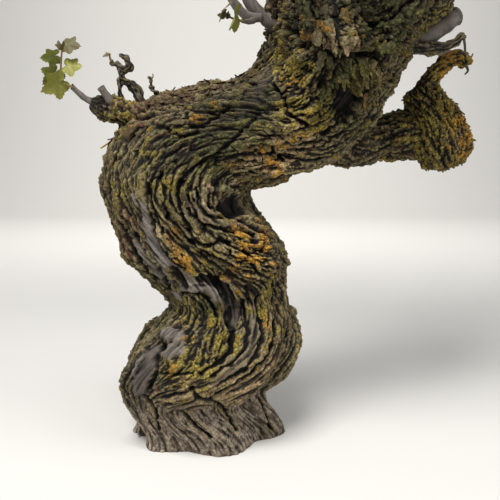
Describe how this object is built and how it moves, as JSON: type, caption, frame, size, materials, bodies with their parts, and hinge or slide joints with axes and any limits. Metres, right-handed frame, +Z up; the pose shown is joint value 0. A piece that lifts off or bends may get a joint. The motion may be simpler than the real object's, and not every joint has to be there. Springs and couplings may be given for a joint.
{
  "type": "grapevine",
  "caption": "Old head-trained grapevine in early spring: a short twisted trunk that leans over its own elbow to a broad head, gnarled arms, pruned spurs and small young shoots.",
  "frame": {"origin": "on the flat cut at ground level, under the lower trunk", "axes": "+Z up, +X to the right of the picture's view, -Y towards its camera"},
  "size_m": [0.6824, 0.5084, 1.2381],
  "materials": {
    "bark": "deeply furrowed shreddy bark, dark grey-brown with yellow and orange lichen",
    "lichen_bark": "rough bark crusted with yellow-brown lichen",
    "cane_wood": "grey-brown one-year wood with fine lengthwise cracks",
    "dead_wood": "dark weathered dead wood",
    "young_leaf": "soft young yellow-green leaf, bronze at the shoot tip"
  },
  "bodies": {
    "root": {"trunk": "bark", "arm_1": "bark", "arm_1_spur_1": "cane_wood", "arm_1_spur_1_shoot": "young_leaf", "arm_1_spur_2": "cane_wood", "arm_1_spur_2_shoot": "young_leaf", "arm_1_spur_3": "cane_wood", "arm_1_spur_3_shoot": "young_leaf", "arm_2": "bark", "arm_2_spur_1": "cane_wood", "arm_2_spur_1_shoot": "young_leaf", "arm_2_spur_2": "cane_wood", "arm_2_spur_2_shoot": "young_leaf", "arm_3": "bark", "arm_3_spur_1": "cane_wood", "arm_3_spur_1_shoot": "young_leaf", "arm_3_spur_2": "cane_wood", "arm_3_spur_2_shoot": "young_leaf", "arm_3_spur_3": "cane_wood", "arm_3_spur_3_shoot": "young_leaf", "arm_4": "bark", "arm_4_spur_1": "cane_wood", "arm_4_spur_1_shoot": "young_leaf", "arm_4_spur_2": "cane_wood", "arm_4_spur_2_shoot": "young_leaf", "arm_4_spur_3": "cane_wood", "arm_4_spur_3_shoot": "young_leaf", "arm_5": "bark", "arm_5_spur_1": "cane_wood", "arm_5_spur_1_shoot": "young_leaf", "arm_5_spur_2": "cane_wood", "arm_5_spur_2_shoot": "young_leaf", "arm_6": "bark", "arm_6_spur_1": "cane_wood", "arm_6_spur_1_shoot": "young_leaf", "arm_6_spur_2": "cane_wood", "arm_6_spur_2_shoot": "young_leaf", "arm_droop": "bark", "arm_left": "bark", "head_left_bud": "cane_wood", "head_left_fork": "cane_wood", "head_left_spur": "cane_wood", "head_right_spur": "cane_wood", "head_right_twig": "dead_wood", "knob": "lichen_bark", "knob_spur": "lichen_bark", "left_cane": "cane_wood", "left_crooked_fork": "dead_wood", "left_crooked_spur": "dead_wood", "left_cut_spur": "cane_wood", "left_dead_twig": "dead_wood", "left_peg": "dead_wood", "shoot_crooked": "young_leaf", "shoot_head": "young_leaf", "shoot_left": "young_leaf"}
  },
  "joints": []
}
